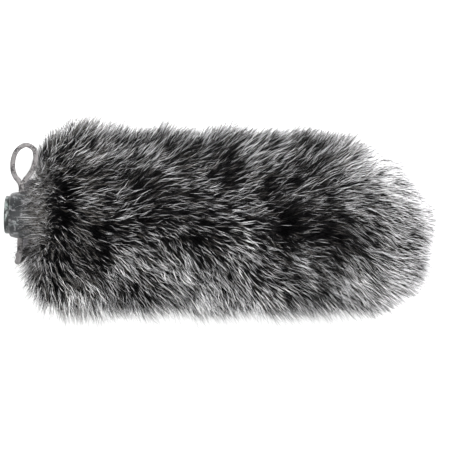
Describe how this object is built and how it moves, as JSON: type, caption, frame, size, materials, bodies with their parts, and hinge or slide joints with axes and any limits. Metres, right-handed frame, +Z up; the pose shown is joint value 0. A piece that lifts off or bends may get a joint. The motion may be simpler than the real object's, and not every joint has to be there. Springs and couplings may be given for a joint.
{
  "type": "furry windscreen",
  "caption": "Long-pile furry slip-on windscreen for a shotgun microphone, with a foam core, a drawstring collar and a sprung cord lock.",
  "frame": {"origin": "centre of the microphone bore's mouth, on the foam core's base face", "axes": "+X along the bore's axis from the collar to the nose, +Z up from the surface it lies on"},
  "size_m": [0.2265, 0.096, 0.09],
  "materials": {
    "pile": "long acrylic pile, near-black roots and silver-grey tips",
    "backing": "knitted ground, matte",
    "foam": "open-cell foam, matte",
    "tape": "knitted tape, gathered",
    "thread": "sewing thread",
    "cord": "braided elastic cord with dark flecks",
    "ferrule": "crimped",
    "lock_plastic": "marbled moulded plastic",
    "button_plastic": "marbled moulded plastic",
    "spring_steel": "drawn wire"
  },
  "bodies": {
    "cover": {"foam_core": "foam", "body_backing": "backing", "nose_backing": "backing", "base_backing": "backing", "body_pile": "pile", "nose_pile": "pile", "base_pile": "pile", "long_seam": "backing", "nose_seam": "backing", "base_seam": "backing", "collar_casing": "tape", "buttonhole_stitching": "thread", "casing_stitching": "thread", "drawstring": "cord", "pull_loop": "cord", "cord_ferrule": "ferrule"},
    "lock": {"lock_body": "lock_plastic", "lock_spring": "spring_steel"},
    "button": {"lock_plunger": "button_plastic"}
  },
  "joints": [
    {"name": "lock_slide", "type": "slide", "parent": "cover", "child": "lock", "axis": [0, 1, 0], "range_m": [-0.005, 0.002]},
    {"name": "button_press", "type": "slide", "parent": "lock", "child": "button", "axis": [1, 0, 0], "range_m": [0, 0.0022], "stiffness_N_per_m": 300, "springref_m": -0.008, "deforming": ["lock_spring"]}
  ]
}
